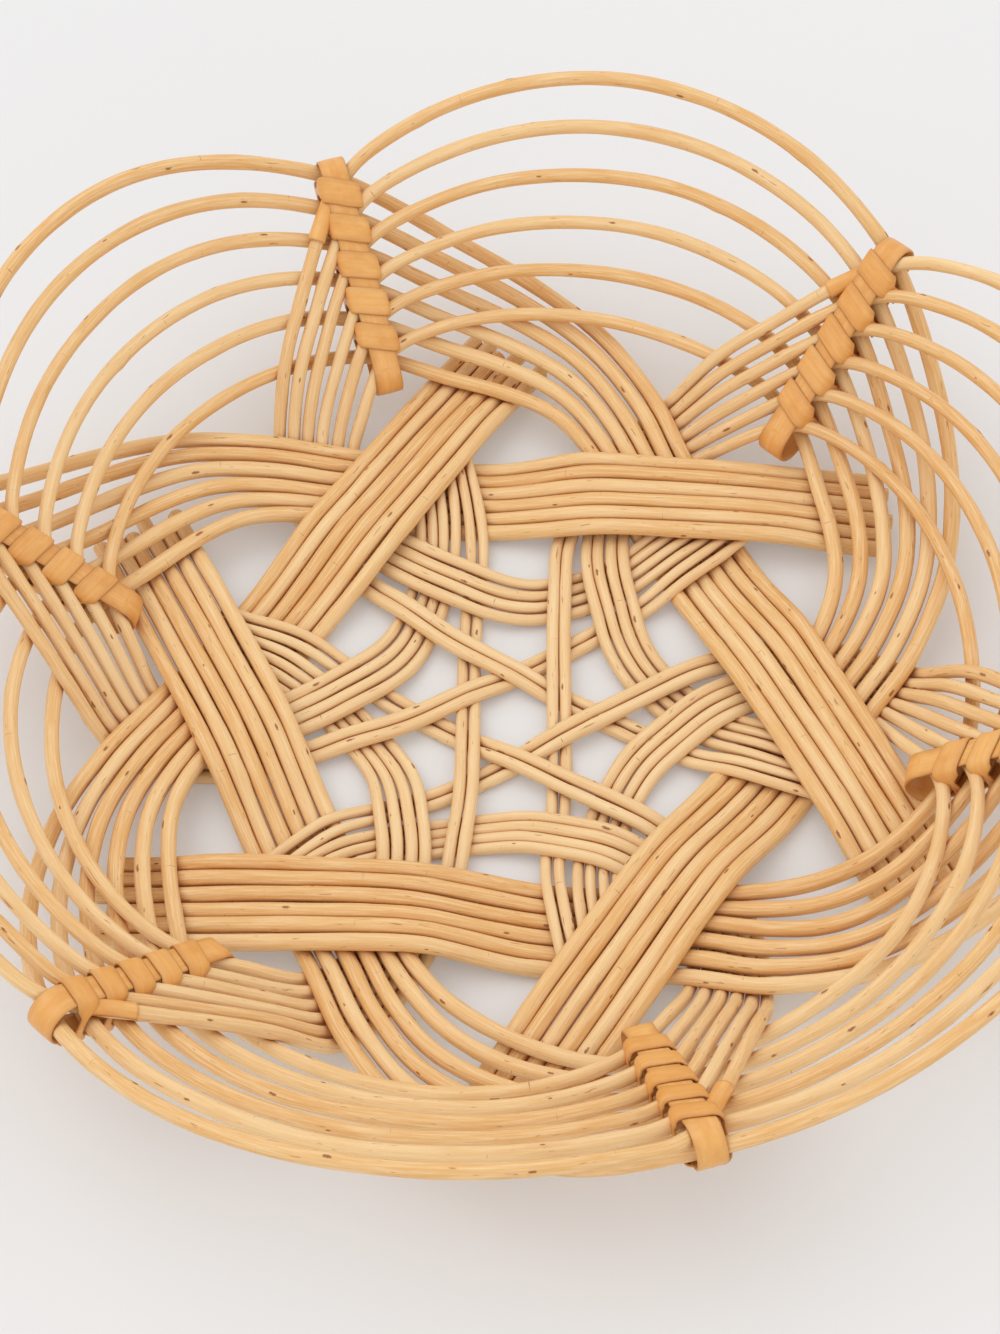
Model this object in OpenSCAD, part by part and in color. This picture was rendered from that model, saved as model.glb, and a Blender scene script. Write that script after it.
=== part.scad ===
// Winnowing basket: 36 peeled willow rods in six sheaves, woven flat across the base and tied
// with flat split-willow strip at six places round the wall. Millimetres, +Z up.
// The origin is on the table under the middle of the base. The front faces -Y.

/* [Rods] */
// radius of a rod at its thick cut end
butt_r = 2.4; // [1.8:0.1:3.2]
// radius where the rod starts up the wall
wall_r = 2.3; // [1.6:0.1:3.0]
// radius at the end of the rim petal
petal_end_r = 2.05; // [1.4:0.05:2.8]
// radius at the thin tip, hidden in the star
tip_r = 1.5; // [0.8:0.05:2.0]
// distance between neighbouring rods in a base band
band_pitch = 4.8; // [3.8:0.1:6.5]

/* [Base bands] */
// distance from the middle of the base to the innermost rod of a band
band_inner = 60.7; // [50:0.1:75]
// angle between a band and the line out to its own binding
band_turn = 10; // [4:0.5:16]
// how far the cut ends reach past the middle of a band
butt_reach = 107; // [95:1:118]

/* [Wall and rim] */
// angle of the first binding round the basket
first_binding = 105; // [0:1:180]
// distance from the axis to the innermost crossing of a binding
cross_r = 121; // [110:1:135]
// outward step from one crossing to the next
cross_dr = 8.6; // [7:0.1:11]
// height of the innermost crossing
cross_z = 20; // [14:0.5:28]
// upward step from one crossing to the next
cross_dz = 7; // [5:0.1:9]
// half the height between the lower and upper rod at a crossing
cross_half = 3.1; // [2.4:0.1:4]
// extra lift of the middle of the outermost petal
rim_lift = 32; // [15:1:42]

/* [Star] */
// distance from the middle to each line of the six-pointed star
star_r = 13; // [9:0.1:18]
// distance between neighbouring rods in the star
star_pitch = 3.65; // [2.8:0.05:4.5]

/* [Hand weaving] */
// how much of the unevenness of hand weaving is kept, 0 for an even six-fold basket
unevenness = 1; // [0:0.1:1]

/* [Bindings] */
// width of the strip that runs along the crossings
strip_w = 8.5; // [6:0.5:10]
// thickness of the strip
strip_t = 0.8; // [0.5:0.1:1.6]
// length of each crosswise wrap, measured along the binding
wrap_len = 6.6; // [4:0.1:7.5]
// width of each crosswise wrap
wrap_w = 12.6; // [11.6:0.1:15]
// how far the middle of a binding lies to one side of its row of crossings
binding_side = 4.5; // [2:0.5:6]
// how far a wrap runs outward from one side of the binding to the other
wrap_slant = 2.4; // [0:0.2:6]
// how far the loop of strip reaches inward past the innermost crossing
loop_reach = 5; // [0:0.5:8]

/* [Hidden] */

SIDES = 6;
// a wrap's strip is pinched to this width where it passes down between the rods
strand_w = 1;
willow = [0.86, 0.72, 0.50];
strip_colour = [0.80, 0.58, 0.34];
step_len = sqrt(pow(cross_dr, 2) + pow(cross_dz, 2));
wall_angle = atan2(cross_dz, cross_dr);
loop_r = cross_half * cos(wall_angle) + wall_r + 0.8;

function mix(a, b, t) = a + (b - a) * t;
function dir(a) = [cos(a), sin(a)];
function turned(p, a) = [p[0] * cos(a) - p[1] * sin(a), p[0] * sin(a) + p[1] * cos(a), p[2]];
function bez(c, t) = pow(1 - t, 3) * c[0] + 3 * pow(1 - t, 2) * t * c[1]
    + 3 * (1 - t) * t * t * c[2] + t * t * t * c[3];
function up(p, z) = [p[0], p[1], z];

// ---- one rod's route, in a frame where its first binding lies on +X ----
// r is the rod's place in its sheaf, 1 innermost to 6 outermost, and f runs from 0 to 1 over the six.

// Flat band. Rows are distance along the band, height of rod 1, height of rod 6, and how much the
// crossings of the neighbouring bands slant that row.
BAND = [[-90, 7.0, 7.4, 0], [-68, 10.0, 10.2, 1], [-48, 11.0, 11.4, 1], [-32, 11.4, 12.1, 1],
    [-18, 10.8, 12.0, 1], [-3, 6.7, 7.0, 1], [13, 2.8, 2.8, 1], [26, 2.45, 2.45, -0.6],
    [38, 2.6, 2.8, -0.6], [49, 6.3, 6.7, -0.6], [62, 7.2, 8.9, -0.6]];
BUTT_STAGGER = [0, 3, -2, 2, -1, 1];
function band_side(r) = band_inner + band_pitch * (r - 1);
function band_xy(r, u) = dir(band_turn) * u + dir(band_turn - 90) * band_side(r);
function slant(r) = 0.013 * band_pitch * (r - 3.5);
function band_route(r, f) = concat(
    [up(band_xy(r, -butt_reach + BUTT_STAGGER[r - 1]), 5.6)],
    [for (b = BAND) up(band_xy(r, b[0] * (1 - slant(r) * b[3])), mix(b[1], b[2], f))]);

// Crossing under or over at a binding.
function crossing(r, layer) = [cross_r + cross_dr * (r - 1), 0,
    cross_z + cross_dz * (r - 1) + layer * cross_half];
function leave_angle(f) = mix(58, 71, f);

// From the band up the wall to the binding.
function wall_curve(r, f) = let (
    start = up(band_xy(r, mix(68, 76, f)), mix(8.6, 11, f)),
    reach_a = mix(22, 38, f), reach_b = mix(18, 34, f),
    end = crossing(r, -1))
    [start,
     start + up(dir(band_turn) * reach_a, reach_a * mix(0.34, 0.2, f)),
     end - up(dir(leave_angle(f)) * reach_b, reach_b * mix(0.5, 0.85, f)),
     end];

// The petal, from one binding round the rim to the next.
function petal_curve(r, f) = let (
    start = crossing(r, -1), end = turned(crossing(r, 1), 60), lift = mix(4, rim_lift, f))
    [start,
     start + up(dir(leave_angle(f)) * mix(28, 66, f), lift),
     end + up(-dir(163) * mix(60, 62, f), lift),
     end];

// Down the wall again, in the frame of the next binding, to the place under the base bands.
function descent(f) = [
    [mix(115, 151, f), mix(8, 13, f), mix(19.5, 49.5, f)],
    [mix(108, 136, f), mix(15, 24, f), mix(12, 37.5, f)],
    [mix(103, 122, f), mix(20, 34, f), mix(6, 25.5, f)],
    [mix(97, 107, f), mix(24.5, 42, f), mix(2.3, 5, f)],
    [mix(85, 91, f), mix(26, 44.5, f), 1.95],
    [mix(73, 72, f), mix(22.5, 41, f), 1.9]];

// Rods 1 to 4 curve round a point of the star. Rows are x, y, heading, height of rod 1, of rod 4.
CURVE = [[60.5, 20, 215, 5.4, 3.5], [52.5, 12.5, 225, 5.9, 5.3], [46, 2.5, 233, 5.3, 5.3],
    [39.5, -7, 242, 4.5, 4.5], [36, -18, 256, 2.1, 2.1], [35, -29, 268, 1.8, 1.8],
    [35, -40, 276, 1.8, 1.8], [37, -49.5, 284, 3.0, 4.0], [38.5, -56, 286, 6.5, 7.0],
    [44, -71, 292, 7.1, 7.1]];
function curve_route(r) = [for (c = CURVE)
    up([c[0], c[1]] + dir(c[2] - 90) * (r - 2.5) * star_pitch, mix(c[3], c[4], (r - 1) / 3))];

// Rods 5 and 6 run straight as one line of the star. Rows are distance along the line and height.
LINE_HEADING = 222.5;
LINE = [[-57, 3.0], [-48, 5.2], [-30, 5.4], [-14, 5.4], [-5, 5.2], [5, 2.1], [18, 1.8],
    [34, 1.75], [44, 1.8]];
// Then they bend in beside the next curve and end under a band. Rows are x, y, heading, height.
LINE_END = [[-30.9, -45.8, 230, 3.4], [-36.9, -53, 233, 7.2], [-42.7, -60.3, 234, 7.1],
    [-52.9, -74.5, 235, 7.1]];
function line_route(r) = let (side = (r - 5.5) * (star_pitch + 0.1)) concat(
    [for (l = LINE) up(dir(LINE_HEADING + 90) * (star_r - side) + dir(LINE_HEADING) * l[0], l[1])],
    [for (e = LINE_END) up([e[0], e[1]] + dir(e[2] - 90) * side, e[3])]);

function star_route(r, f) = concat(descent(f), r <= 4 ? curve_route(r) : line_route(r));
function rod_route(r) = let (f = (r - 1) / 5) concat(
    band_route(r, f),
    [for (j = [0 : 4]) bez(wall_curve(r, f), j / 4)],
    [for (j = [1 : 10]) bez(petal_curve(r, f), j / 10)],
    [for (p = star_route(r, f)) turned(p, 60)]);

// ---- the unevenness of hand weaving ----
// Every point is moved in plan, by a shift that blends from the star in the middle to the corners
// where the base bands cross, and from there to the bindings. Both rings run clockwise.
STAR_SHIFT = [-0.4, -2.4];
CORNER_SHIFT = [[0.6, -2.6], [-2.4, 0.4], [-4.6, 3.2], [-1.2, 4.6], [2.6, 3.6], [0.4, 0.6]];
BINDING_SHIFT = [[-0.4, 5.6], [4.6, -0.4], [-0.4, -11.4], [-5.4, -5.4], [-5.4, -0.4], [0.6, 6.6]];
first_corner = first_binding - 110;
// The cut ends lie on the base, so the first points of a rod take no part of a binding's shift.
BUTT_POINTS = 6;
function eased(t) = 0.5 - 0.5 * cos(180 * max(0, min(1, t)));
function apart(a, b) = (a - b + 900) % 360 - 180;
function total(list, j = 0) = j >= len(list) ? [0, 0] : list[j] + total(list, j + 1);
function shift_round(shifts, first, angle) = total([for (k = [0 : 5])
    let (d = apart(angle, first - 60 * k)) abs(d) < 60 ? pow(cos(1.5 * d), 2) * shifts[k] : [0, 0]]);
function settled(p, walled) = let (
    d = norm([p[0], p[1]]), angle = atan2(p[1], p[0]),
    low = mix(STAR_SHIFT, shift_round(CORNER_SHIFT, first_corner, angle), eased((d - 25) / 40)),
    rim = walled ? eased((d - 88) / 32) : 0,
    whole = mix(low, shift_round(BINDING_SHIFT, first_binding, angle), rim))
    p + unevenness * up(whole, 0);
function sheaf_route(s, r) = let (route = rod_route(r)) [for (j = [0 : len(route) - 1])
    settled(turned(route[j], first_binding - 60 * (s - 1)), j >= BUTT_POINTS)];

// ---- rod solid ----
// Radius along the rod, as a share of its length.
TAPER = [[0, butt_r], [0.33, wall_r], [0.62, petal_end_r], [0.72, 1.95], [0.85, 1.8], [1, tip_r]];
function lengths(p, j = 0, sum = 0) = j >= len(p) ? [] :
    let (l = j == 0 ? 0 : sum + norm(p[j] - p[j - 1])) concat([l], lengths(p, j + 1, l));
function heading(p, j) = let (n = len(p) - 1,
    v = p[min(j + 1, n)] - p[max(j - 1, 0)]) v / norm(v);
function ring(c, h, radius) = let (
    side = cross(h, [0, 0, 1]) / norm(cross(h, [0, 0, 1])), top = cross(side, h))
    [for (q = [0 : SIDES - 1]) c + radius * (side * cos(q * 360 / SIDES) + top * sin(q * 360 / SIDES))];

module swept_rod(route) {
    l = lengths(route);
    n = len(route);
    rings = [for (j = [0 : n - 1])
        each ring(route[j], heading(route, j), lookup(l[j] / l[n - 1], TAPER))];
    faces = concat(
        [[for (q = [0 : SIDES - 1]) q]],
        [for (j = [0 : n - 2], q = [0 : SIDES - 1]) let (
            a = j * SIDES + q, b = j * SIDES + (q + 1) % SIDES) each [[a, a + SIDES, b],
            [b, a + SIDES, b + SIDES]]],
        [[for (q = [SIDES - 1 : -1 : 0]) (n - 1) * SIDES + q]]);
    polyhedron(points = rings, faces = faces);
}

// One whole willow rod: cut end, band, wall, petal, wall, star, tip.
module willow_rod(s, r) color(willow) swept_rod(sheaf_route(s, r));

// ---- bindings ----
// Moves a shape drawn with +X up the slope of the crossings, +Z square to it, to binding s.
// x = 0 is the innermost crossing.
module at_binding(s) translate(unevenness * up(BINDING_SHIFT[s - 1], 0))
    rotate([0, 0, first_binding - 60 * (s - 1)])
    translate([cross_r, binding_side, cross_z]) rotate([0, -wall_angle, 0]) children();

module slot_outline(radius) {
    for (x = [-loop_reach, 5 * step_len]) translate([x, 0]) circle(r = radius, $fn = 48);
    translate([-loop_reach, -radius]) square([5 * step_len + loop_reach, 2 * radius]);
}

// The strip that runs over the six crossings, round the last one and back underneath.
module binding_backbone(s) color(strip_colour) at_binding(s)
    translate([0, strip_w / 2, 0]) rotate([90, 0, 0]) linear_extrude(strip_w)
        difference() {
            slot_outline(loop_r + strip_t);
            slot_outline(loop_r);
        }

// One crosswise wrap between two crossings, slanted so that its sides pass down between the rods.
module wrap(x) {
    outer = loop_r + 2 * strip_t;
    half = wrap_slant / 2;
    for (z = [-outer, outer - strip_t]) translate([x, 0, z]) linear_extrude(strip_t)
        polygon([[-wrap_len / 2 - half, -wrap_w / 2], [wrap_len / 2 - half, -wrap_w / 2],
            [wrap_len / 2 + half, wrap_w / 2], [-wrap_len / 2 + half, wrap_w / 2]]);
    for (side = [-1, 1])
        translate([x + side * half - strand_w / 2, (side * (wrap_w - strip_t) - strip_t) / 2, -outer])
            cube([strand_w, strip_t, 2 * outer]);
}

// The five wraps of one binding.
module binding_wraps(s) color(strip_colour) at_binding(s)
    for (j = [0 : 4]) wrap((j + 0.56) * step_len);

willow_rod(1, 1);  // sheaf_1_rod_1
willow_rod(1, 2);  // sheaf_1_rod_2
willow_rod(1, 3);  // sheaf_1_rod_3
willow_rod(1, 4);  // sheaf_1_rod_4
willow_rod(1, 5);  // sheaf_1_rod_5
willow_rod(1, 6);  // sheaf_1_rod_6
willow_rod(2, 1);  // sheaf_2_rod_1
willow_rod(2, 2);  // sheaf_2_rod_2
willow_rod(2, 3);  // sheaf_2_rod_3
willow_rod(2, 4);  // sheaf_2_rod_4
willow_rod(2, 5);  // sheaf_2_rod_5
willow_rod(2, 6);  // sheaf_2_rod_6
willow_rod(3, 1);  // sheaf_3_rod_1
willow_rod(3, 2);  // sheaf_3_rod_2
willow_rod(3, 3);  // sheaf_3_rod_3
willow_rod(3, 4);  // sheaf_3_rod_4
willow_rod(3, 5);  // sheaf_3_rod_5
willow_rod(3, 6);  // sheaf_3_rod_6
willow_rod(4, 1);  // sheaf_4_rod_1
willow_rod(4, 2);  // sheaf_4_rod_2
willow_rod(4, 3);  // sheaf_4_rod_3
willow_rod(4, 4);  // sheaf_4_rod_4
willow_rod(4, 5);  // sheaf_4_rod_5
willow_rod(4, 6);  // sheaf_4_rod_6
willow_rod(5, 1);  // sheaf_5_rod_1
willow_rod(5, 2);  // sheaf_5_rod_2
willow_rod(5, 3);  // sheaf_5_rod_3
willow_rod(5, 4);  // sheaf_5_rod_4
willow_rod(5, 5);  // sheaf_5_rod_5
willow_rod(5, 6);  // sheaf_5_rod_6
willow_rod(6, 1);  // sheaf_6_rod_1
willow_rod(6, 2);  // sheaf_6_rod_2
willow_rod(6, 3);  // sheaf_6_rod_3
willow_rod(6, 4);  // sheaf_6_rod_4
willow_rod(6, 5);  // sheaf_6_rod_5
willow_rod(6, 6);  // sheaf_6_rod_6
binding_backbone(1);  // binding_backbone_1
binding_backbone(2);  // binding_backbone_2
binding_backbone(3);  // binding_backbone_3
binding_backbone(4);  // binding_backbone_4
binding_backbone(5);  // binding_backbone_5
binding_backbone(6);  // binding_backbone_6
binding_wraps(1);  // binding_wraps_1
binding_wraps(2);  // binding_wraps_2
binding_wraps(3);  // binding_wraps_3
binding_wraps(4);  // binding_wraps_4
binding_wraps(5);  // binding_wraps_5
binding_wraps(6);  // binding_wraps_6
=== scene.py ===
"""Winnowing basket: the visible model, floor, light and camera."""
import bpy
import numpy as np
from mathutils import Matrix, Vector


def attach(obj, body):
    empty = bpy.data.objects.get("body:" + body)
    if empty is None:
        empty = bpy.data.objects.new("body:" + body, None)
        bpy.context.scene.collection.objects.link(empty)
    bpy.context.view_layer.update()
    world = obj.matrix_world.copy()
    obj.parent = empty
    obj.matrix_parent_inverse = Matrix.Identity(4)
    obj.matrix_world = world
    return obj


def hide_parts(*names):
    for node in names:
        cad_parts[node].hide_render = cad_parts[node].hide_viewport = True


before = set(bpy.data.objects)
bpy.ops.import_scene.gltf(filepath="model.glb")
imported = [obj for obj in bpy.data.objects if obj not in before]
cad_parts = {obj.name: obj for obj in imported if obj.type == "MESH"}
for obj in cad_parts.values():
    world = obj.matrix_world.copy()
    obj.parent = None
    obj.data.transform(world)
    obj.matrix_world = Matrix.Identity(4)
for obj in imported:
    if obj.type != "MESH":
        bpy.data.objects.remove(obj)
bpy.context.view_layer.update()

MM = 0.001
SHEAVES = range(1, 7)
PLACES = range(1, 7)

# Rods, in millimetres
BUTT_R, WALL_R, PETAL_END_R, TIP_R = 2.4, 2.3, 2.05, 1.5
TAPER_AT = [0, 0.33, 0.62, 0.72, 0.85, 1]
TAPER_R = [BUTT_R, WALL_R, PETAL_END_R, 1.95, 1.8, TIP_R]
BAND_PITCH, BAND_INNER, BAND_TURN, BUTT_REACH = 4.8, 60.7, 10, 107
STAR_R, STAR_PITCH = 13, 3.65
RING_SIDES = 16
RING_STEP = 1.8
CHAMFER = 0.3
# How far a rod wanders to each side, and how far it is bent aside at a scar
WAVE, KINK = 0.07, 0.13
# A tight bend is evened out over about this length to each side
STIFFNESS = 5
# Share by which a rod's thickness varies along it, and by which it is out of round
UNEVEN, OVAL = 0.014, 0.025
# The bump where a bud was, and the swelling right round the rod there
SCAR_BUMP, SCAR_SWELL = 0.22, 0.06
ROD_SEED = 100

# Bindings, in millimetres
FIRST_BINDING = 105
CROSS_R, CROSS_DR, CROSS_Z, CROSS_DZ, CROSS_HALF = 121, 8.6, 20, 7, 3.1
STEP_LEN = float(np.hypot(CROSS_DR, CROSS_DZ))
WALL_ANGLE = float(np.arctan2(CROSS_DZ, CROSS_DR))
BINDING_SIDE = 4.5
# A binding's six crossings leave five spans, with one wrap in each
SPANS = len(PLACES) - 1
STRIP_W, STRIP_T, LOOP_R, LOOP_REACH = 8.5, 0.8, 5.5, 5
WRAP_W, WRAP_SLANT, WRAP_LEN = 12.6, 4.6, 7.9
# A wrap's width at its sides, and its place within its span
WRAP_PINCH, WRAP_AT = 2.2, 0.56
# Powers that square up a wrap's loop and the directions that face out of it
WRAP_SQUARE, WRAP_OUTWARD = 0.42, 3.8
TAIL_R, TAIL_REACH, TAIL_SPREAD, TAIL_STEP = 2.12, 10.8, 95, 0.8
BINDING_SEED = 7000


# ---------------------------------------------------------------- rod routes
def mix(a, b, t):
    return a + (b - a) * t


def direction(degrees):
    a = np.radians(degrees)
    return np.array([np.cos(a), np.sin(a)])


def raised(xy, z):
    return np.array([xy[0], xy[1], z])


def turned(points, degrees):
    c, s = direction(degrees)
    x, y, z = np.atleast_2d(points).T
    return np.stack([x * c - y * s, x * s + y * c, z], axis=-1)


def bezier(c, ts):
    t = np.asarray(ts)[:, None]
    return (1 - t) ** 3 * c[0] + 3 * (1 - t) ** 2 * t * c[1] + 3 * (1 - t) * t * t * c[2] + t ** 3 * c[3]


# distance along the band, height of rod 1, height of rod 6, slant of the row
BAND = [(-90, 7.0, 7.4, 0), (-68, 10.0, 10.2, 1), (-48, 11.0, 11.4, 1), (-32, 11.4, 12.1, 1),
        (-18, 10.8, 12.0, 1), (-3, 6.7, 7.0, 1), (13, 2.8, 2.8, 1), (26, 2.45, 2.45, -0.6),
        (38, 2.6, 2.8, -0.6), (49, 6.3, 6.7, -0.6), (62, 7.2, 8.9, -0.6)]
BUTT_STAGGER = [0, 3, -2, 2, -1, 1]


def band_xy(place, along):
    side = BAND_INNER + BAND_PITCH * (place - 1)
    return direction(BAND_TURN) * along + direction(BAND_TURN - 90) * side


def band_route(place, f):
    slant = 0.013 * BAND_PITCH * (place - 3.5)
    points = [raised(band_xy(place, -BUTT_REACH + BUTT_STAGGER[place - 1]), 5.6)]
    for along, low, high, lean in BAND:
        points.append(raised(band_xy(place, along * (1 - slant * lean)), mix(low, high, f)))
    return points


def crossing(place, layer):
    return np.array([CROSS_R + CROSS_DR * (place - 1), 0,
                     CROSS_Z + CROSS_DZ * (place - 1) + layer * CROSS_HALF])


def wall_curve(place, f):
    start = raised(band_xy(place, mix(68, 76, f)), mix(8.6, 11, f))
    end = crossing(place, -1)
    reach_a, reach_b = mix(22, 38, f), mix(18, 34, f)
    return [start,
            start + raised(direction(BAND_TURN) * reach_a, reach_a * mix(0.34, 0.2, f)),
            end - raised(direction(mix(58, 71, f)) * reach_b, reach_b * mix(0.5, 0.85, f)),
            end]


def petal_curve(place, f):
    start, end = crossing(place, -1), turned(crossing(place, 1), 60)[0]
    lift = mix(4, 32, f)
    return [start,
            start + raised(direction(mix(58, 71, f)) * mix(28, 66, f), lift),
            end + raised(-direction(163) * mix(60, 62, f), lift),
            end]


def descent(f):
    """From the binding down to the base: x, y and height, from rod 1 to rod 6."""
    return [np.array(p) for p in (
        (mix(115, 151, f), mix(8, 13, f), mix(19.5, 49.5, f)),
        (mix(108, 136, f), mix(15, 24, f), mix(12, 37.5, f)),
        (mix(103, 122, f), mix(20, 34, f), mix(6, 25.5, f)),
        (mix(97, 107, f), mix(24.5, 42, f), mix(2.3, 5, f)),
        (mix(85, 91, f), mix(26, 44.5, f), 1.95),
        (mix(73, 72, f), mix(22.5, 41, f), 1.9))]


# x, y, heading, height of rod 1, height of rod 4
CURVE = [(60.5, 20, 215, 5.4, 3.5), (52.5, 12.5, 225, 5.9, 5.3), (46, 2.5, 233, 5.3, 5.3),
         (39.5, -7, 242, 4.5, 4.5), (36, -18, 256, 2.1, 2.1), (35, -29, 268, 1.8, 1.8),
         (35, -40, 276, 1.8, 1.8), (37, -49.5, 284, 3.0, 4.0), (38.5, -56, 286, 6.5, 7.0),
         (44, -71, 292, 7.1, 7.1)]
# distance along the line, height
LINE_HEADING = 222.5
LINE = [(-57, 3.0), (-48, 5.2), (-30, 5.4), (-14, 5.4), (-5, 5.2), (5, 2.1), (18, 1.8),
        (34, 1.75), (44, 1.8)]
# x, y, heading, height
LINE_END = [(-30.9, -45.8, 230, 3.4), (-36.9, -53, 233, 7.2), (-42.7, -60.3, 234, 7.1),
            (-52.9, -74.5, 235, 7.1)]


def curve_route(place):
    f = (place - 1) / 3
    offset = (place - 2.5) * STAR_PITCH
    return [raised(np.array([x, y]) + direction(a - 90) * offset, mix(low, high, f))
            for x, y, a, low, high in CURVE]


def line_route(place):
    side = (place - 5.5) * (STAR_PITCH + 0.1)
    foot = direction(LINE_HEADING + 90) * (STAR_R - side)
    points = [raised(foot + direction(LINE_HEADING) * along, z) for along, z in LINE]
    return points + [raised(np.array([x, y]) + direction(a - 90) * side, z)
                     for x, y, a, z in LINE_END]


# Plan shift of the star, of each base corner and of each binding from an even six-fold layout
STAR_SHIFT = np.array([-0.4, -2.4])
CORNER_SHIFT = np.array([(0.6, -2.6), (-2.4, 0.4), (-4.6, 3.2), (-1.2, 4.6), (2.6, 3.6), (0.4, 0.6)])
BINDING_SHIFT = np.array([(-0.4, 5.6), (4.6, -0.4), (-0.4, -11.4), (-5.4, -5.4), (-5.4, -0.4), (0.6, 6.6)])
FIRST_CORNER = FIRST_BINDING - 110
# The cut ends lie on the base, so these first points of a rod take no part of a binding's shift
BUTT_POINTS = 6


def eased(t):
    return 0.5 - 0.5 * np.cos(np.pi * np.clip(t, 0, 1))


def shift_round(shifts, first, angle):
    """Sum of the shifts, each fading to nothing 60 degrees either side of its own place."""
    total = np.zeros((len(angle), 2))
    for k, shift in enumerate(shifts):
        apart = np.clip((angle - first + 60 * k + 900) % 360 - 180, -60, 60)
        total += (np.cos(np.radians(1.5 * apart)) ** 2)[:, None] * shift
    return total


def settled(points):
    """The unevenness of hand weaving: a plan shift that blends from the star to the bindings."""
    d = np.hypot(points[:, 0], points[:, 1])
    angle = np.degrees(np.arctan2(points[:, 1], points[:, 0]))
    low = mix(STAR_SHIFT, shift_round(CORNER_SHIFT, FIRST_CORNER, angle), eased((d - 25) / 40)[:, None])
    rim = shift_round(BINDING_SHIFT, FIRST_BINDING, angle)
    at_rim = eased((d - 88) / 32)[:, None]
    at_rim[:BUTT_POINTS] = 0
    out = points.copy()
    out[:, :2] += mix(low, rim, at_rim)
    return out


def rod_route(sheaf, place):
    f = (place - 1) / 5
    outward = np.vstack([band_route(place, f),
                         bezier(wall_curve(place, f), np.arange(5) / 4),
                         bezier(petal_curve(place, f), np.arange(1, 11) / 10)])
    star = curve_route(place) if place <= 4 else line_route(place)
    inward = turned(np.array(descent(f) + star), 60)
    return settled(turned(np.vstack([outward, inward]), FIRST_BINDING - 60 * (sheaf - 1)))


def smooth_curve(points, per_span=8):
    """Catmull-Rom curve through the points, with the length reached at each of its points."""
    q = np.vstack([2 * points[0] - points[1], points, 2 * points[-1] - points[-2]])
    t = (np.arange(per_span) / per_span)[:, None]
    spans = []
    for a, b, c, d in zip(q[:-3], q[1:-2], q[2:-1], q[3:]):
        spans.append(0.5 * (2 * b + (c - a) * t + (2 * a - 5 * b + 4 * c - d) * t * t
                            + (3 * b - a - 3 * c + d) * t ** 3))
    curve = np.vstack(spans + [points[-1:]])
    return curve, length_along(curve)


def length_along(curve):
    return np.r_[0, np.cumsum(np.linalg.norm(np.diff(curve, axis=0), axis=1))]


def relaxed(curve, length, stiffness):
    """Evens out tight bends as a springy rod does, and leaves both ends where they are."""
    at = np.arange(0, length[-1], 1.0)
    line = resample(curve, length, at)
    reach = np.arange(-3 * stiffness, 3 * stiffness + 1)
    weight = np.exp(-0.5 * (reach / stiffness) ** 2)
    pad = len(reach) // 2
    before = 2 * line[0] - line[pad:0:-1]
    after = 2 * line[-1] - line[-2:-pad - 2:-1]
    long_line = np.vstack([before, line, after])
    even = np.stack([np.convolve(long_line[:, k], weight / weight.sum(), "valid") for k in range(3)],
                    axis=-1)
    return even, length_along(even)


def resample(curve, length, at):
    return np.stack([np.interp(at, length, curve[:, k]) for k in range(3)], axis=-1)


# ---------------------------------------------------------------- meshes
def new_object(name, verts, faces, material, attributes):
    mesh = bpy.data.meshes.new(name)
    mesh.from_pydata([tuple(v) for v in np.asarray(verts) * MM], [], faces)
    for key, values in attributes.items():
        kind = "FLOAT_VECTOR" if np.ndim(values) == 2 else "FLOAT"
        layer = mesh.attributes.new(key, kind, "POINT")
        layer.data.foreach_set("vector" if kind == "FLOAT_VECTOR" else "value",
                               np.asarray(values, dtype=np.float32).ravel())
    mesh.polygons.foreach_set("use_smooth", [True] * len(mesh.polygons))
    mesh.materials.append(material)
    mesh.validate()
    obj = bpy.data.objects.new(name, mesh)
    bpy.context.scene.collection.objects.link(obj)
    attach(obj, "root")
    return obj


def unit(v):
    return v / np.linalg.norm(v, axis=-1, keepdims=True)


def tube_faces(rings, sides, closed_ends=True):
    faces = []
    for j in range(rings - 1):
        for q in range(sides):
            a, b = j * sides + q, j * sides + (q + 1) % sides
            faces.append((a, a + sides, b + sides, b))
    if closed_ends:
        faces.append(tuple(range(sides)))
        faces.append(tuple((rings - 1) * sides + q for q in reversed(range(sides))))
    return faces


def bud_scars(total, rng):
    """Places where buds were rubbed off: distance along the rod, turn round it, size."""
    scars = []
    at, turn = rng.uniform(6, 26), rng.uniform(0, 2 * np.pi)
    while at < total - 6:
        scars.append((at, turn, rng.uniform(0.4, 1.0)))
        at += rng.uniform(15, 44)
        turn += rng.uniform(1.8, 3.2)
    return np.array(scars)


def rod_frame(sheaf, place, rng):
    """Ring centres along a rod and the two directions across it, a little wavy and kinked."""
    curve, length = relaxed(*smooth_curve(rod_route(sheaf, place)), STIFFNESS)
    total = length[-1]
    at = np.r_[0, CHAMFER, np.arange(RING_STEP, total - RING_STEP, RING_STEP), total - CHAMFER, total]
    scars = bud_scars(total, rng)
    centre = resample(curve, length, at)
    heading = unit(np.gradient(centre, at, axis=0))
    side = unit(np.cross(heading, [0, 0, 1]))
    top = np.cross(side, heading)
    for axis in (side, top):
        offset = np.interp(at, scars[:, 0], rng.normal(0, KINK, len(scars)))
        for _ in range(2):
            offset += WAVE * np.sin(2 * np.pi * at / rng.uniform(45, 130) + rng.uniform(0, 2 * np.pi))
        centre = centre + axis * offset[:, None]
    return at, centre, side, top, scars


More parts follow.
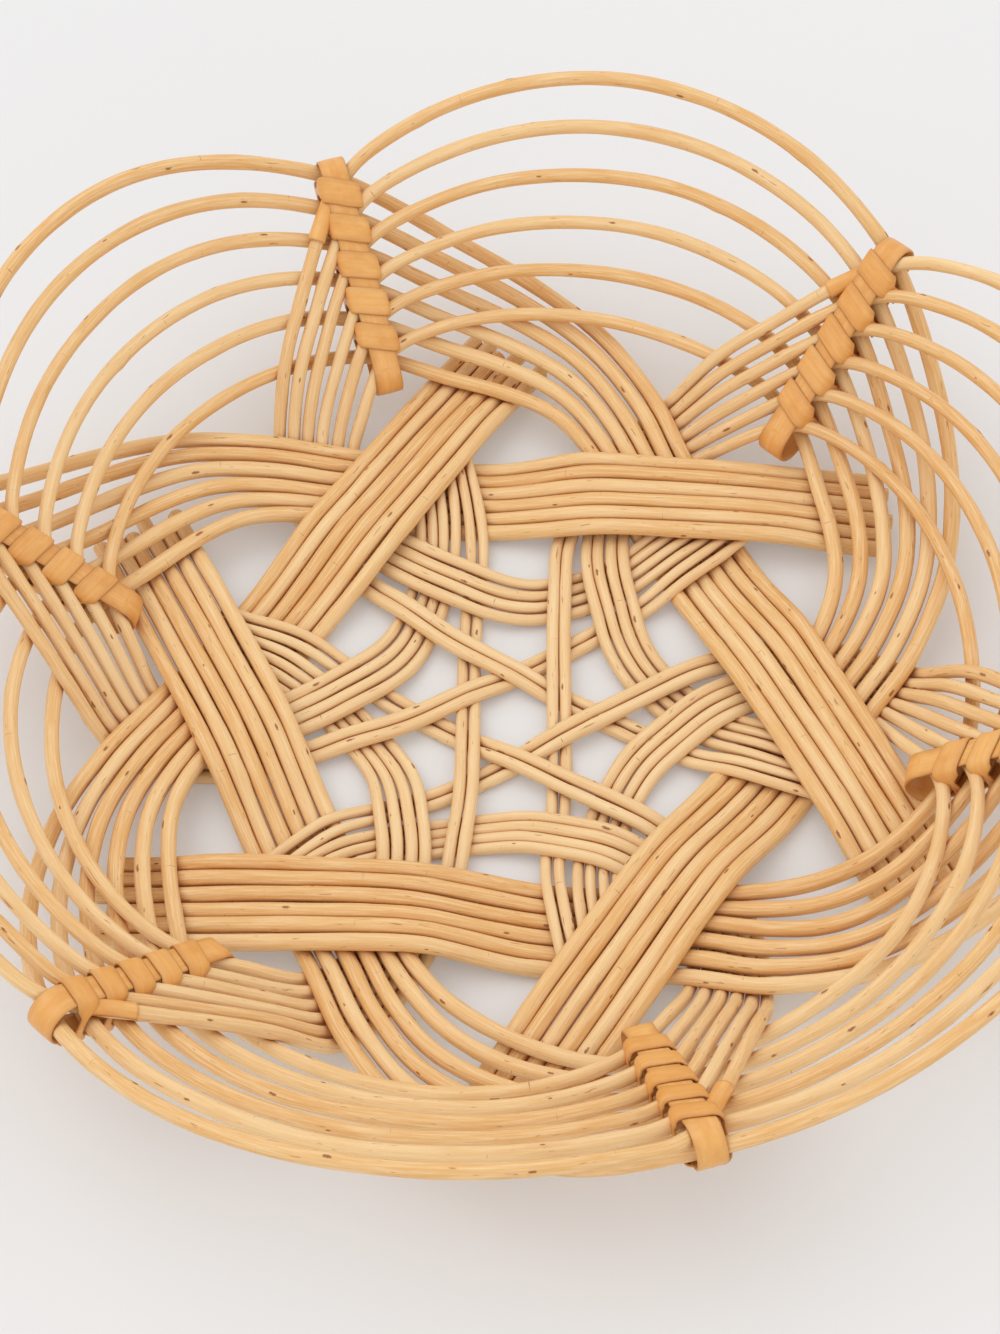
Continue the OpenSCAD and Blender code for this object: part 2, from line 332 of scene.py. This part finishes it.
def rod_thickness(at, around, scars, rng):
    """Radius of every point: tapering, slightly oval, uneven along, swollen at the scars."""
    radius = np.interp(at / at[-1], TAPER_AT, TAPER_R)
    for _ in range(3):
        radius = radius * (1 + UNEVEN * np.sin(2 * np.pi * at / rng.uniform(18, 70)
                                               + rng.uniform(0, 2 * np.pi)))
    radius[[0, -1]] -= CHAMFER * 0.6
    oval = 1 + OVAL * np.cos(2 * (around - rng.uniform(0, 2 * np.pi)))
    grid = radius[:, None] * oval[None, :]
    for where, turn, size in scars:
        apart = np.angle(np.exp(1j * (around - turn)))
        bump = np.exp(-((at - where) / 2.2) ** 2)[:, None] * np.exp(-(apart / 0.6) ** 2)[None, :]
        grid += SCAR_BUMP * size * bump + SCAR_SWELL * size * np.exp(-((at - where) / 5) ** 2)[:, None]
    return grid


def scar_offsets(at, around, grid, scars):
    """How far each point lies from its nearest scar, along and round the rod, in scar sizes."""
    nearest = scars[np.argmin(np.abs(at[:, None] - scars[None, :, 0]), axis=1)]
    along = (at - nearest[:, 0]) / nearest[:, 2]
    turn = around[None, :] - nearest[:, 1:2]
    sideways = np.sin(turn) * grid / nearest[:, 2:3]
    return np.stack([np.repeat(along[:, None], len(around), axis=1), sideways, np.cos(turn)], axis=-1)


def rod_mesh(sheaf, place, material):
    """A peeled willow rod, with its ends cut square."""
    rng = np.random.default_rng(ROD_SEED * sheaf + place)
    around = np.arange(RING_SIDES) * 2 * np.pi / RING_SIDES
    at, centre, side, top, scars = rod_frame(sheaf, place, rng)
    grid = rod_thickness(at, around, scars, rng)
    # No ring reaches below the table, which is at height 0
    centre[:, 2] = np.maximum(centre[:, 2], grid.max(axis=1))
    spoke = (side[:, None, :] * np.cos(around)[None, :, None]
             + top[:, None, :] * np.sin(around)[None, :, None])
    rings = centre[:, None, :] + grid[:, :, None] * spoke
    along = (at + 1000 * rng.uniform(0, 1))[:, None] + 0 * around[None, :]
    grain = np.stack([along, grid * np.cos(around), grid * np.sin(around)], axis=-1)
    cut = np.zeros(grid.shape)
    cut[[0, -1]] = 1
    obj = new_object(f"willow_rod_{sheaf}_{place}", rings.reshape(-1, 3),
                     tube_faces(len(at), RING_SIDES), material,
                     {"grain": grain.reshape(-1, 3), "cut": cut.ravel(),
                      "scar": scar_offsets(at, around, grid, scars).reshape(-1, 3),
                      "thin": np.repeat(eased((at / at[-1] - 0.6) / 0.2), RING_SIDES),
                      "tone": np.full(grid.size, rng.uniform(0, 1))})
    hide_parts(f"sheaf_{sheaf}_rod_{place}")


def ribbon_shell(path, normal, width, thickness, crown, closed):
    """Sweeps a strip's section: flat underneath, crowned on top, with softened edges.

    The faces are wound inwards.
    """
    across = np.array([-1, -0.97, -0.86, -0.5, 0, 0.5, 0.86, 0.97, 1, 0.95, 0.5, 0, -0.5, -0.95])
    lift = np.array([0.45, 0.8, 0.96, 1, 1, 1, 0.96, 0.8, 0.45, 0.05, 0, 0, 0, 0.05])
    if closed:
        heading = unit(np.roll(path, -1, axis=0) - np.roll(path, 1, axis=0))
    else:
        heading = unit(np.gradient(path, axis=0))
    normal = unit(normal - heading * np.sum(normal * heading, axis=1, keepdims=True))
    side = np.cross(heading, normal)
    half = (np.asarray(width) / 2)[:, None]
    height = thickness * lift[None, :] + crown * (1 - across[None, :] ** 2)
    verts = (path[:, None, :] + side[:, None, :] * (half * across[None, :])[:, :, None]
             + normal[:, None, :] * height[:, :, None])
    length = length_along(path)
    grain = np.stack([np.repeat(length[:, None], len(across), axis=1),
                      half * across[None, :],
                      np.repeat(lift[None, :], len(path), axis=0)], axis=-1)
    sides = len(across)
    faces = tube_faces(len(path), sides, closed_ends=not closed)
    if closed:
        last = (len(path) - 1) * sides
        faces += [(last + q, q, (q + 1) % sides, last + (q + 1) % sides) for q in range(sides)]
    edge = np.repeat((np.abs(across) ** 6)[None, :], len(path), axis=0)
    return verts.reshape(-1, 3), faces, grain.reshape(-1, 3), edge.ravel()


def binding_matrix(sheaf):
    """From (along the crossings, across, out of the wall) to the basket's frame, in millimetres."""
    return (Matrix.Translation((*BINDING_SHIFT[sheaf - 1], 0))
            @ Matrix.Rotation(np.radians(FIRST_BINDING - 60 * (sheaf - 1)), 4, "Z")
            @ Matrix.Translation((CROSS_R, BINDING_SIDE, CROSS_Z))
            @ Matrix.Rotation(-WALL_ANGLE, 4, "Y"))


def placed(points, matrix):
    m = np.array(matrix)
    return points @ m[:3, :3].T + m[:3, 3]


def backbone_shell(rng):
    """The strip that runs over the crossings, round the ends and back underneath."""
    far = SPANS * STEP_LEN
    inner = np.radians(np.linspace(90, 270, 15))
    outer = np.radians(np.linspace(-90, 90, 15))
    along = np.linspace(-LOOP_REACH, far, 46)[1:-1]
    points = [(-LOOP_REACH + LOOP_R * np.cos(a), LOOP_R * np.sin(a)) for a in inner]
    points += [(s, -LOOP_R) for s in along]
    points += [(far + LOOP_R * np.cos(a), LOOP_R * np.sin(a)) for a in outer]
    points += [(s, LOOP_R) for s in along[::-1]]
    flat = np.array(points)
    path = np.stack([flat[:, 0], np.zeros(len(flat)), flat[:, 1]], axis=-1)
    centre = np.clip(path[:, 0], -LOOP_REACH, far)
    normal = path - np.stack([centre, np.zeros(len(flat)), np.zeros(len(flat))], axis=-1)
    width = STRIP_W + 0.35 * np.sin(path[:, 0] / 9 + rng.uniform(0, 6))
    path[:, 1] += 0.3 * np.sin(path[:, 0] / 14 + rng.uniform(0, 6))
    return ribbon_shell(path, unit(normal), width, STRIP_T, 0.12, True)


def wrap_shell(j, rng):
    """One crosswise wrap, pinched where it passes down between the rods."""
    count = 72
    angle = np.arange(count) * 2 * np.pi / count
    half_y, half_n = WRAP_W / 2 - STRIP_T, LOOP_R + STRIP_T + 0.05
    y = half_y * np.sign(np.cos(angle)) * np.abs(np.cos(angle)) ** WRAP_SQUARE
    n = half_n * np.sign(np.sin(angle)) * np.abs(np.sin(angle)) ** WRAP_SQUARE
    slant = WRAP_SLANT + rng.uniform(-0.5, 0.8)
    s = (j + WRAP_AT) * STEP_LEN + slant * y / WRAP_W + rng.uniform(-0.3, 0.3)
    path = np.stack([s, y, n], axis=-1)
    normal = unit(np.stack([0 * y, np.sign(y) * np.abs(y / half_y) ** WRAP_OUTWARD / half_y,
                            np.sign(n) * np.abs(n / half_n) ** WRAP_OUTWARD / half_n], axis=-1))
    flatness = eased((np.abs(n) / half_n - 0.25) / 0.6)
    width = mix(WRAP_PINCH, WRAP_LEN + rng.uniform(-0.4, 0.4), flatness)
    return ribbon_shell(path, normal, width, STRIP_T, 0.1, True)


def tail_path(sheaf, matrix):
    """The stretch of the outermost outgoing rod that the strip's end lies along."""
    curve, length = smooth_curve(rod_route(sheaf % 6 + 1, 6))
    inverse = np.array(matrix.inverted())
    local = resample(curve, length, np.arange(0, length[-1], TAIL_STEP)) @ inverse[:3, :3].T + inverse[:3, 3]
    return local[(local[:, 1] > 2) & (local[:, 1] < TAIL_REACH) & (local[:, 0] > 3 * STEP_LEN)]


def tail_shell(sheaf, matrix):
    """The strip's end, bent round the rod like half a sleeve. The faces are wound inwards."""
    path = tail_path(sheaf, matrix)
    heading = unit(np.gradient(path, axis=0))
    normal = unit([0.0, 0.0, 1.0] - heading * heading[:, 2:3])
    side = np.cross(heading, normal)
    spread = np.radians(np.linspace(-TAIL_SPREAD, TAIL_SPREAD, 13))
    angles = np.r_[spread, spread[::-1]]
    radii = TAIL_R + STRIP_T * np.repeat([0.7, 0], len(spread))
    verts = (path[:, None, :] + side[:, None, :] * (np.sin(angles) * radii)[None, :, None]
             + normal[:, None, :] * (np.cos(angles) * radii)[None, :, None])
    along = TAIL_STEP * np.arange(len(path))[:, None] + 0 * angles[None, :]
    grain = np.stack([along, 0 * along + angles * TAIL_R, 0 * along + radii], axis=-1)
    edge = 0 * along + (np.abs(angles) > np.radians(TAIL_SPREAD - 1))
    return (verts.reshape(-1, 3), tube_faces(len(path), len(angles)), grain.reshape(-1, 3),
            edge.ravel())


def binding_object(name, shells, matrix, material, tone, nodes):
    verts, faces, grain, edge = [], [], [], []
    base = 0
    for shell_verts, shell_faces, shell_grain, shell_edge in shells:
        verts.append(placed(shell_verts, matrix))
        faces += [tuple(i + base for i in face) for face in shell_faces]
        grain.append(shell_grain + [base * 1.7, 0, 0])
        edge.append(shell_edge)
        base += len(shell_verts)
    obj = new_object(name, np.vstack(verts), faces, material,
                     {"grain": np.vstack(grain), "edge": np.concatenate(edge),
                      "tone": np.full(base, tone)})
    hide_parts(*nodes)


# ---------------------------------------------------------------- materials
class Nodes:
    """Small helper that adds nodes to a material and joins them."""

    def __init__(self, name):
        self.material = bpy.data.materials.new(name)
        self.material.use_nodes = True
        self.tree = self.material.node_tree
        self.shader = self.tree.nodes["Principled BSDF"]

    def add(self, kind, **settings):
        node = self.tree.nodes.new(kind)
        for key, value in settings.items():
            if key in node.inputs:
                node.inputs[key].default_value = value
            else:
                setattr(node, key, value)
        return node

    def link(self, source, target):
        self.tree.links.new(source, target)

    def attribute(self, name):
        return self.add("ShaderNodeAttribute", attribute_name=name)

    def noise(self, vector, scale, detail=4.0, roughness=0.55):
        node = self.add("ShaderNodeTexNoise", Scale=scale, Detail=detail, Roughness=roughness)
        self.link(vector, node.inputs["Vector"])
        return node.outputs["Fac"]

    def stretched(self, vector, scale):
        node = self.add("ShaderNodeMapping")
        node.inputs["Scale"].default_value = scale
        self.link(vector, node.inputs["Vector"])
        return node.outputs["Vector"]

    def ramp(self, fac, *stops):
        node = self.add("ShaderNodeValToRGB")
        elements = node.color_ramp.elements
        while len(elements) < len(stops):
            elements.new(0.5)
        for element, (position, colour) in zip(elements, stops):
            element.position = position
            element.color = (*colour, 1)
        self.link(fac, node.inputs["Fac"])
        return node.outputs["Color"]

    def blend(self, fac, a, b, mode="MIX"):
        node = self.add("ShaderNodeMix", data_type="RGBA", blend_type=mode)
        for value, socket in ((fac, node.inputs[0]), (a, node.inputs[6]), (b, node.inputs[7])):
            if hasattr(value, "links"):
                self.link(value, socket)
            else:
                socket.default_value = value if np.isscalar(value) else (*value, 1)
        return node.outputs[2]

    def maths(self, operation, a, b=0.0):
        node = self.add("ShaderNodeMath", operation=operation)
        for value, socket in ((a, node.inputs[0]), (b, node.inputs[1])):
            if hasattr(value, "links"):
                self.link(value, socket)
            else:
                socket.default_value = value
        return node.outputs[0]

    def span(self, fac, low, high):
        """Spreads a 0 to 1 value over low to high."""
        return self.maths("ADD", self.maths("MULTIPLY", fac, high - low), low)

    def bump(self, height, strength, distance):
        node = self.add("ShaderNodeBump", Strength=strength, Distance=distance)
        self.link(height, node.inputs["Height"])
        self.link(node.outputs["Normal"], self.shader.inputs["Normal"])


def srgb(r, g, b):
    return tuple(c / 12.92 if c <= 0.04045 else ((c + 0.055) / 1.055) ** 2.4
                 for c in (r / 255, g / 255, b / 255))


def willow_material():
    """Peeled willow: pale straw with fine fibres, brown bud scars, short nicks, and painted shade in the
    gaps between rods.
    """
    m = Nodes("peeled_willow")
    grain = m.attribute("grain").outputs["Vector"]
    tone = m.attribute("tone").outputs["Fac"]
    cut = m.attribute("cut").outputs["Fac"]
    thin = m.attribute("thin").outputs["Fac"]
    base = m.ramp(tone, (0.0, srgb(222, 168, 101)), (0.5, srgb(229, 182, 118)), (1.0, srgb(236, 199, 143)))
    patches = m.ramp(m.noise(m.stretched(grain, (0.035, 0.12, 0.12)), 1.0, 3),
                     (0.35, (0, 0, 0)), (0.7, (0.5, 0.5, 0.5)))
    base = m.blend(patches, base, srgb(224, 166, 96))
    base = m.blend(m.maths("MULTIPLY", thin, 0.5), base, srgb(238, 208, 161))
    fibres = m.noise(m.stretched(grain, (0.07, 1.7, 1.7)), 1.0, 5, 0.65)
    base = m.blend(m.ramp(fibres, (0.42, (0, 0, 0)), (0.68, (0.7, 0.7, 0.7))), base,
                   srgb(246, 217, 170))
    nicks = m.noise(m.stretched(grain, (0.16, 1.5, 1.5)), 1.0, 2, 0.5)
    base = m.blend(m.ramp(nicks, (0.69, (0, 0, 0)), (0.73, (0.6, 0.6, 0.6))), base, srgb(150, 92, 44))
    base = m.blend(scar_mask(m, grain), base, srgb(136, 74, 30))
    # Painted shade: an ambient-occlusion node darkens the colour towards deep brown where neighbouring rods
    # close in
    painted_gap_shade = m.add("ShaderNodeAmbientOcclusion", samples=6, Distance=0.004)
    base = m.blend(m.ramp(painted_gap_shade.outputs["AO"], (0.08, (0.85, 0.85, 0.85)), (0.52, (0, 0, 0))), base,
                   srgb(178, 90, 14))
    base = m.blend(m.maths("MULTIPLY", cut, 0.5), base, srgb(222, 190, 146))
    m.link(base, m.shader.inputs["Base Color"])
    m.link(m.span(fibres, 0.34, 0.56), m.shader.inputs["Roughness"])
    m.bump(fibres, 0.4, 0.0004)
    m.shader.inputs["Specular IOR Level"].default_value = 0.4
    return m.material


def scar_mask(m, grain):
    """A small dark oval, ragged at its edge, at each bud scar."""
    parts = m.add("ShaderNodeSeparateXYZ")
    m.link(m.attribute("scar").outputs["Vector"], parts.inputs[0])
    along, sideways, facing = parts.outputs
    oval = m.maths("ADD", m.maths("POWER", m.maths("MULTIPLY", along, 0.6), 2),
                   m.maths("POWER", m.maths("MULTIPLY", sideways, 1.8), 2))
    ragged = m.maths("ADD", oval, m.span(m.noise(grain, 1.6, 3), -1.0, 1.0))
    inside = m.ramp(ragged, (0.3, (0.85, 0.85, 0.85)), (1.0, (0, 0, 0)))
    return m.maths("MULTIPLY", inside, m.maths("GREATER_THAN", facing, 0.2))


def strip_material():
    """Shaved split willow: smooth orange tan with long faint streaks, darker cut edges, and painted shade
    where it lies close to the rods.
    """
    m = Nodes("split_willow_strip")
    grain = m.attribute("grain").outputs["Vector"]
    tone = m.attribute("tone").outputs["Fac"]
    edge = m.attribute("edge").outputs["Fac"]
    base = m.ramp(tone, (0.0, srgb(226, 160, 82)), (1.0, srgb(234, 176, 100)))
    streaks = m.noise(m.stretched(grain, (0.06, 1.1, 0.5)), 1.0, 5, 0.6)
    base = m.blend(m.ramp(streaks, (0.4, (0, 0, 0)), (0.75, (0.6, 0.6, 0.6))), base,
                   srgb(243, 198, 132))
    clouds = m.noise(m.stretched(grain, (0.14, 0.2, 0.5)), 1.0, 3)
    base = m.blend(m.ramp(clouds, (0.4, (0, 0, 0)), (0.7, (0.6, 0.6, 0.6))), base, srgb(216, 146, 68))
    # Painted shade: an ambient-occlusion node darkens the colour towards deep brown where the strip lies
    # close to rods or to itself
    painted_gap_shade = m.add("ShaderNodeAmbientOcclusion", samples=6, Distance=0.003)
    base = m.blend(m.ramp(painted_gap_shade.outputs["AO"], (0.06, (0.75, 0.75, 0.75)), (0.5, (0, 0, 0))), base,
                   srgb(160, 80, 18))
    base = m.blend(m.maths("MULTIPLY", edge, 0.45), base, srgb(158, 96, 46))
    m.link(base, m.shader.inputs["Base Color"])
    m.link(m.span(streaks, 0.26, 0.46), m.shader.inputs["Roughness"])
    m.bump(streaks, 0.15, 0.0002)
    m.shader.inputs["Specular IOR Level"].default_value = 0.45
    return m.material


# The floor gives off a little light of its own, which keeps the shadows on it pale
FLOOR_GLOW, FLOOR_GLOW_STRENGTH = (1.0, 0.96, 0.93), 0.16
FLOOR_HALF = 3.0


def floor_material():
    m = Nodes("pale_floor")
    coords = m.add("ShaderNodeTexCoord").outputs["Object"]
    base = m.ramp(m.noise(coords, 1.5, 3), (0.3, srgb(206, 206, 207)), (0.8, srgb(210, 210, 210)))
    m.link(base, m.shader.inputs["Base Color"])
    m.shader.inputs["Roughness"].default_value = 0.9
    m.shader.inputs["Specular IOR Level"].default_value = 0.1
    m.shader.inputs["Emission Color"].default_value = (*FLOOR_GLOW, 1)
    m.shader.inputs["Emission Strength"].default_value = FLOOR_GLOW_STRENGTH
    return m.material


# ---------------------------------------------------------------- floor, light, camera
def add_floor():
    half = FLOOR_HALF
    mesh = bpy.data.meshes.new("floor")
    mesh.from_pydata([(-half, -half, 0), (half, -half, 0), (half, half, 0), (-half, half, 0)],
                     [], [(0, 1, 2, 3)])
    mesh.materials.append(floor_material())
    floor = bpy.data.objects.new("floor", mesh)
    bpy.context.scene.collection.objects.link(floor)


def add_sun(name, toward, strength, spread, colour):
    light = bpy.data.lights.new(name, "SUN")
    light.energy, light.angle, light.color = strength, np.radians(spread), colour
    obj = bpy.data.objects.new(name, light)
    obj.rotation_euler = Vector(toward).to_track_quat("Z", "Y").to_euler()
    bpy.context.scene.collection.objects.link(obj)


KEY_TOWARD, KEY_STRENGTH, KEY_SPREAD = (-0.4, 0.25, 1.0), 0.5, 50
KEY_COLOUR = (1.0, 0.99, 0.98)
SKY_STRENGTH = 0.99


def add_lights():
    add_sun("soft_key", KEY_TOWARD, KEY_STRENGTH, KEY_SPREAD, KEY_COLOUR)
    world = bpy.data.worlds.new("studio")
    world.use_nodes = True
    background = world.node_tree.nodes["Background"]
    background.inputs["Color"].default_value = (1.0, 1.0, 1.0, 1)
    background.inputs["Strength"].default_value = SKY_STRENGTH
    bpy.context.scene.world = world
    bpy.context.scene.view_settings.view_transform = "Standard"


CAMERA_TARGET = (-0.0004, 0.0026, 0)
CAMERA_ELEVATION = 56.3
CAMERA_DISTANCE = 0.8515
CAMERA_ROLL = -2.65
CAMERA_LENS, SENSOR_HEIGHT = 79.34, 36
CAMERA_SHIFT = (-0.0099, 0.0322)


def add_camera():
    e, roll = np.radians(CAMERA_ELEVATION), np.radians(CAMERA_ROLL)
    back = Vector((0, -np.cos(e), np.sin(e)))
    level = Vector((1, 0, 0))
    upright = level.cross(-back)
    right = np.cos(roll) * level + np.sin(roll) * upright
    upward = -np.sin(roll) * level + np.cos(roll) * upright
    data = bpy.data.cameras.new("camera")
    data.sensor_fit = "VERTICAL"
    data.sensor_height = SENSOR_HEIGHT
    data.lens = CAMERA_LENS
    data.shift_x, data.shift_y = CAMERA_SHIFT
    obj = bpy.data.objects.new("camera", data)
    basis = Matrix((right, upward, back)).transposed().to_4x4()
    obj.matrix_world = Matrix.Translation(Vector(CAMERA_TARGET) + back * CAMERA_DISTANCE) @ basis
    bpy.context.scene.collection.objects.link(obj)
    bpy.context.scene.camera = obj


# ---------------------------------------------------------------- build
willow, strip = willow_material(), strip_material()
for sheaf in SHEAVES:
    for place in PLACES:
        rod_mesh(sheaf, place, willow)
for sheaf in SHEAVES:
    rng = np.random.default_rng(BINDING_SEED + sheaf)
    matrix = binding_matrix(sheaf)
    binding_object(f"binding_backbone_strip_{sheaf}", [backbone_shell(rng)], matrix, strip,
                   rng.uniform(0, 1), [f"binding_backbone_{sheaf}"])
    wraps = [wrap_shell(j, rng) for j in range(SPANS)] + [tail_shell(sheaf, matrix)]
    binding_object(f"binding_wrap_strip_{sheaf}", wraps, matrix, strip,
                   rng.uniform(0, 1), [f"binding_wraps_{sheaf}"])
add_floor()
add_lights()
add_camera()
